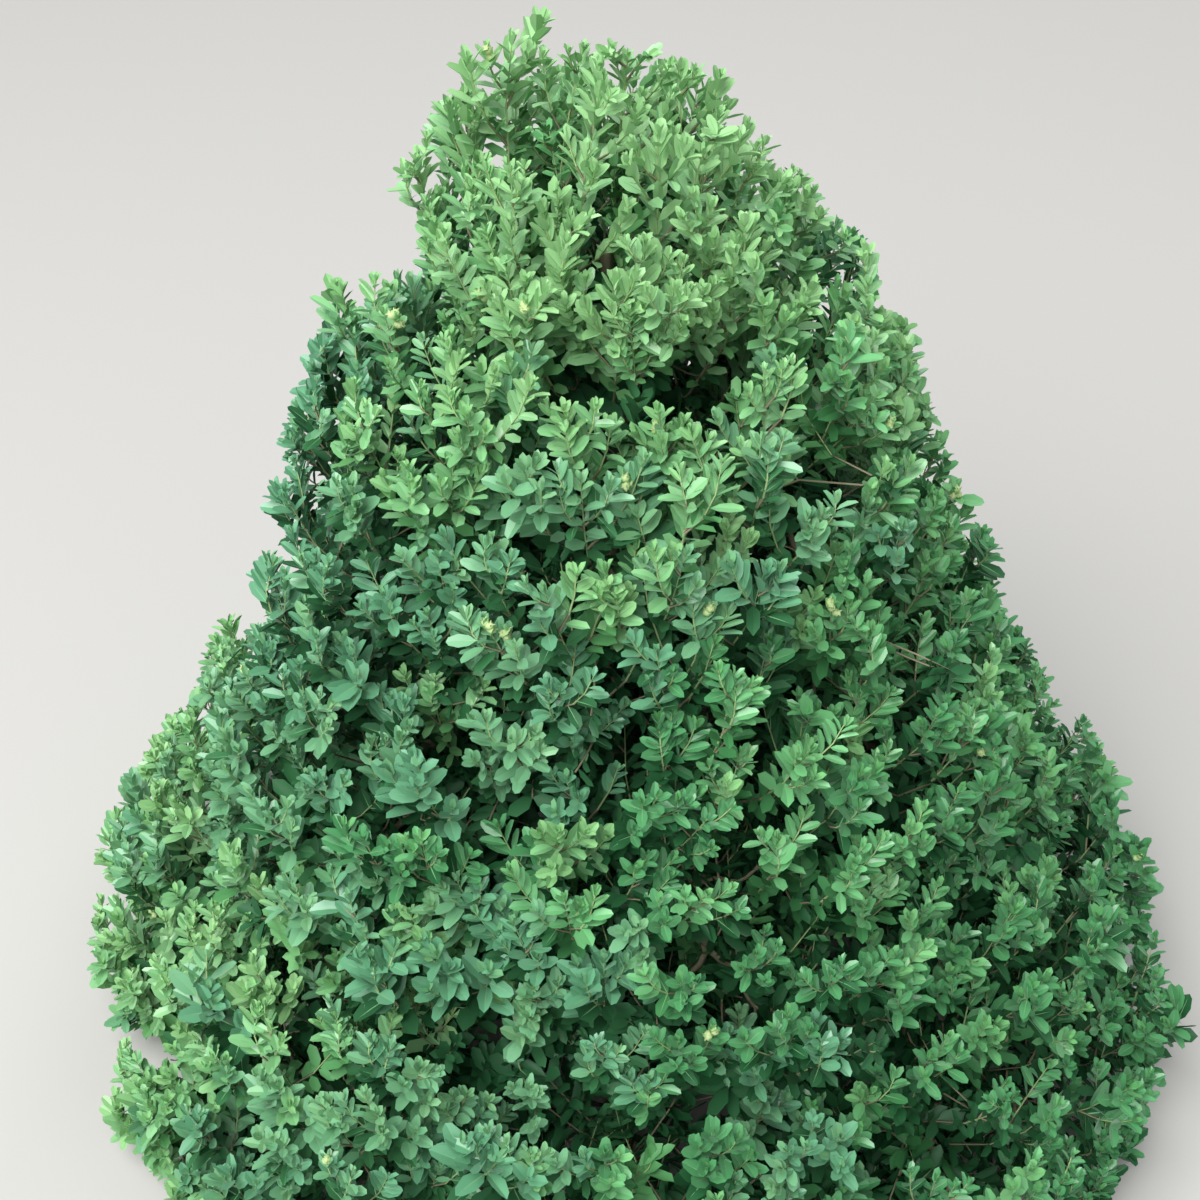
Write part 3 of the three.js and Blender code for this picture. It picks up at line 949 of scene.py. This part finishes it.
def slices_of(triangles, tip_near):
    """A limb's middle points and radii, from cuts through its mesh square to its length."""
    edges = np.concatenate([triangles[:, [0, 1]], triangles[:, [1, 2]], triangles[:, [2, 0]]])
    corners = triangles.reshape(-1, 3)
    centre = corners.mean(0)
    axis = np.linalg.svd(corners - centre, full_matrices=False)[2][0]
    if (tip_near - centre) @ axis < 0:
        axis = -axis
    height = (edges - centre) @ axis
    low, high = height.min(), height.max()
    levels = np.linspace(low + FIRST_SLICE * (high - low), high - LAST_SLICE, BOUGH_SLICES)
    middles, radii = [], []
    for level in levels:
        crossing = (height[:, 0] - level) * (height[:, 1] - level) < 0
        h = height[crossing]
        share = ((level - h[:, 0]) / (h[:, 1] - h[:, 0]))[:, None]
        cut = edges[crossing, 0] + share * (edges[crossing, 1] - edges[crossing, 0])
        middle = (cut.max(0) + cut.min(0)) / 2
        middles.append(middle)
        radii.append(np.linalg.norm(cut - middle, axis=1).mean())
    return np.array(middles), np.array(radii)


def with_relief(points, middles, depth):
    """Points moved in and out from their middles by bark's lumps and long cracks."""
    moved = []
    for point, middle in zip(points, middles):
        lump = noise.fractal(Vector(point * LUMP_GRAIN), *LUMP_FRACTAL)
        crack = abs(noise.noise(Vector(point * CRACK_GRAIN)))
        moved.append(point + unit(point - middle) * depth * (lump - CRACK_DEPTH * crack))
    return np.array(moved)


def bark_bough(middles, radii):
    """A bark-covered bough along middles, back a little into the limb that it leaves."""
    back = middles[0] - BOUGH_BACK * radii[0] * unit(middles[1] - middles[0])
    middles = np.vstack([back, middles])
    radii = np.append(radii[0], radii)
    run = np.append(0, np.cumsum(np.linalg.norm(np.diff(middles, axis=0), axis=1)))
    places = np.linspace(0, run[-1], max(LEAST_RINGS, round(run[-1] / BOUGH_STEP)))
    line = points_along(middles, run, places)
    points, faces = tubes(line[None], np.interp(places, run, radii)[None], BOUGH_SIDES)
    return with_relief(points, np.repeat(line, BOUGH_SIDES, 0), BOUGH_RELIEF), faces


def bark_stem(node):
    """The stem's own form, felt out from its middle line, with the relief of bark."""
    tree = tree_of(triangles_of(node))
    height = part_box(node.name)[1].z
    wall = []
    for z in np.linspace(STEM_EDGE, height - STEM_EDGE, STEM_RINGS):
        for angle in np.arange(STEM_SIDES) * 2 * math.pi / STEM_SIDES:
            way = Vector((math.cos(angle), math.sin(angle), 0))
            wall.append(tree.ray_cast(Vector((0, 0, z)), way)[0])
    points = np.array(wall)
    points = with_relief(points, points * UP, STEM_RELIEF)
    points[:, 2] = np.maximum(points[:, 2], 0)
    side = np.arange(STEM_SIDES)
    bottom_middle, top_middle = len(points), len(points) + 1
    bottom = np.stack([np.roll(side, -1), side, np.full(STEM_SIDES, bottom_middle)], 1)
    upper = side + (STEM_RINGS - 1) * STEM_SIDES
    top = np.stack([upper, np.roll(upper, -1), np.full(STEM_SIDES, top_middle)], 1)
    points = np.vstack([points, [[0, 0, 0], [0, 0, height]]])
    return points, np.concatenate([ring_faces(STEM_RINGS, STEM_SIDES), bottom, top])


# The stage


def make_stage():
    """A pale floor, a soft sky and three large soft lights."""
    corners = FLOOR_HALF * np.array([[-1, -1, 0], [1, -1, 0], [1, 1, 0], [-1, 1, 0]])
    floor = make_object("floor", corners, np.array([[0, 1, 2], [0, 2, 3]]), [floor_material()])
    world = bpy.data.worlds.new("studio")
    world.use_nodes = True
    background = world.node_tree.nodes["Background"]
    background.inputs["Color"].default_value = SKY_COLOUR
    background.inputs["Strength"].default_value = SKY_STRENGTH
    bpy.context.scene.world = world
    for name, place, size, power in LIGHTS:
        light = bpy.data.lights.new(name, "AREA")
        light.size = size
        light.energy = power
        thing = bpy.data.objects.new(name, light)
        thing.location = place
        thing.rotation_euler = (LIT_POINT - Vector(place)).to_track_quat("-Z", "Y").to_euler()
        bpy.context.scene.collection.objects.link(thing)


def make_camera():
    """The camera that stands and looks as the photo's did."""
    camera = bpy.data.cameras.new("camera")
    camera.lens = LENS
    camera.sensor_width = SENSOR
    thing = bpy.data.objects.new("camera", camera)
    thing.location = (0, -CAMERA_DISTANCE, CAMERA_HEIGHT)
    thing.rotation_euler = (math.radians(90 - CAMERA_PITCH), 0, math.radians(CAMERA_TURN))
    bpy.context.scene.collection.objects.link(thing)
    bpy.context.scene.camera = thing


# The plant


def grow_mass(place, mass, middles, crown, taken, materials, rng):
    """Puts twigs and leaves in the place of a mass, and returns the shoots that bear capsules."""
    tips, outs, shaded = spray_places(mass, crown, taken, rng)
    shoots, feet, ways = grow_sprays(tips, outs, shaded, rng)
    set_vigour(shoots, rng)
    set_tones(shoots, rng)
    targets = [{"point": foot, "direction": way} for foot, way in zip(feet, ways)]
    limbs = []
    fork(middles[-1], unit(middles[-1] - middles[-3]), targets, limbs)
    limbs += bough_twigs(middles, rng)
    twigs = make_twigs("twigs_" + place, limbs, shoots, materials["twig"])
    lit = pick(shoots, ~shoots["shaded"])
    dim = pick(shoots, shoots["shaded"])
    fruiting = pick(lit, rng.random(len(lit["end"])) < FRUIT_SHARE)
    outer = leaves_on(lit, 0, rng)
    dim_leaves = leaves_on(dim, FIRST_SHADED_PAIR, rng)
    old_leaves = leaves_on(leafy_twigs(limbs, rng), FIRST_INNER_PAIR, rng)
    inner = {key: np.concatenate([dim_leaves[key], old_leaves[key]]) for key in outer}
    foliage = make_foliage("leaves_" + place, outer, inner, materials["leaf"])
    for piece in (twigs, foliage):
        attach(piece, "root")
    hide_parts("foliage_" + place)
    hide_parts("foliage_" + place)
    return fruiting


def make_bark(nodes, bough_parts):
    """Bark in the place of the stem and the boughs."""
    bark = bark_material()
    boughs = make_object("bark_boughs", *joined(bough_parts), [bark])
    stem = make_object("bark_stem", *bark_stem(nodes["stem"]), [bark])
    for piece in (boughs, stem):
        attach(piece, "root")
    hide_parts(*[name for name in nodes if name.startswith("bough_")])
    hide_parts("stem")


def main():
    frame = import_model()
    nodes = frame["nodes"]
    rng = np.random.default_rng(SEED)
    noise.seed_set(SEED)
    bpy.context.scene.view_settings.view_transform = "Standard"

    places = [name.removeprefix("foliage_") for name in nodes if name.startswith("foliage_")]
    masses = {place: triangles_of(nodes["foliage_" + place]) for place in places}
    crown = tree_of(np.concatenate(list(masses.values())))
    materials = {"leaf": leaf_materials(), "twig": twig_materials()}
    bough_parts, fruiting, taken = [], [], []
    for place, mass in masses.items():
        bough = triangles_of(nodes["bough_" + place])
        middles, radii = slices_of(bough, mass.reshape(-1, 3).mean(0))
        bough_parts.append(bark_bough(middles, radii))
        fruiting.append(grow_mass(place, mass, middles, crown, taken, materials, rng))
    make_fruit(fruiting, rng)
    make_bark(nodes, bough_parts)

    make_stage()
    make_camera()


main()
